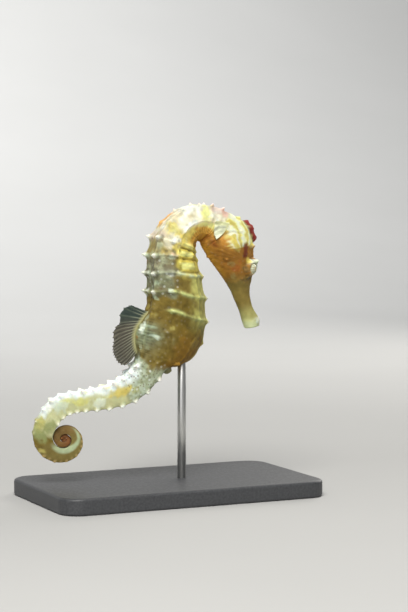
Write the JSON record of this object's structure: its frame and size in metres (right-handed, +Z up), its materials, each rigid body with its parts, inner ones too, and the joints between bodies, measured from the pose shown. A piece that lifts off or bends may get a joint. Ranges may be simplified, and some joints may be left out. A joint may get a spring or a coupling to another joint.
{
  "type": "seahorse",
  "caption": "Life-size seahorse with a bony-ringed body, curled tail and fan-shaped back fin, on a display stand with a rod.",
  "frame": {"origin": "centre of the stand's flat underside", "axes": "+Z up, +X towards the animal's front, its right side towards -Y"},
  "size_m": [0.084, 0.048, 0.0875],
  "materials": {
    "body": "satin, olive gold with cream and orange-brown patches",
    "eye": "glossy",
    "coronet": "satin",
    "fin": "satin, thin and slightly see-through",
    "stand_base": "matte dark grey",
    "stand_rod": "brushed"
  },
  "bodies": {
    "root": {"snout": "body", "head": "body", "neck": "body", "trunk_upper": "body", "trunk_middle": "body", "trunk_lower": "body", "tail_1": "body", "tail_2": "body", "tail_3": "body", "tail_4": "body", "tail_5": "body", "tail_6": "body", "tail_7": "body", "tail_8": "body", "tail_9": "body", "tail_10": "body", "eye_right": "eye", "eye_left": "eye", "coronet": "coronet", "dorsal_fin": "fin", "pectoral_fin_right": "fin", "pectoral_fin_left": "fin", "anal_fin": "fin", "stand_base": "stand_base", "stand_rod": "stand_rod"}
  },
  "joints": []
}
